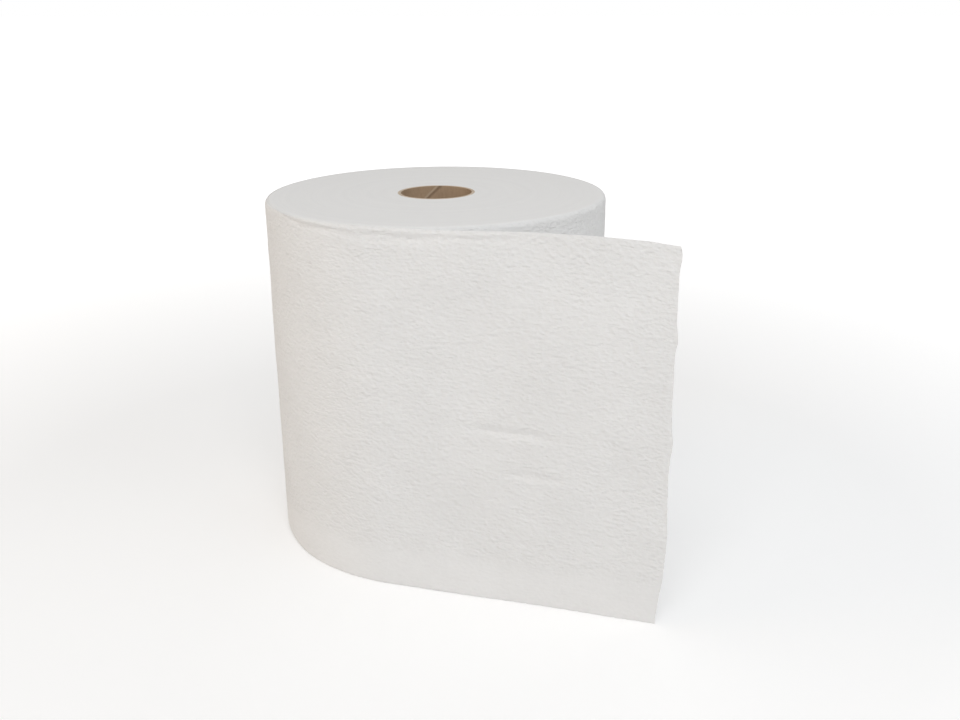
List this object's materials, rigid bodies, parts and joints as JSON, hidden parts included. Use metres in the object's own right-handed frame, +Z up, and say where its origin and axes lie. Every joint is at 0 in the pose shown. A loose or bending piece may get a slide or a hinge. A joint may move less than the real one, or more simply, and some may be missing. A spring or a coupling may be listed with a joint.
{
  "type": "paper towel roll",
  "caption": "Wide roll of plain white paper towel wound on a cardboard core, standing on its end, with a length of towel drawn off along one side.",
  "frame": {"origin": "on the core's axis at the roll's lower end", "axes": "+Z up along the core's axis; the free towel leaves the roll at its front (-Y) and runs straight along +X"},
  "size_m": [0.2523, 0.1966, 0.2032],
  "materials": {
    "towel_paper": "matte, embossed",
    "core_board": "matte"
  },
  "bodies": {
    "root": {"paper_web": "towel_paper", "cardboard_core": "core_board"}
  },
  "joints": []
}
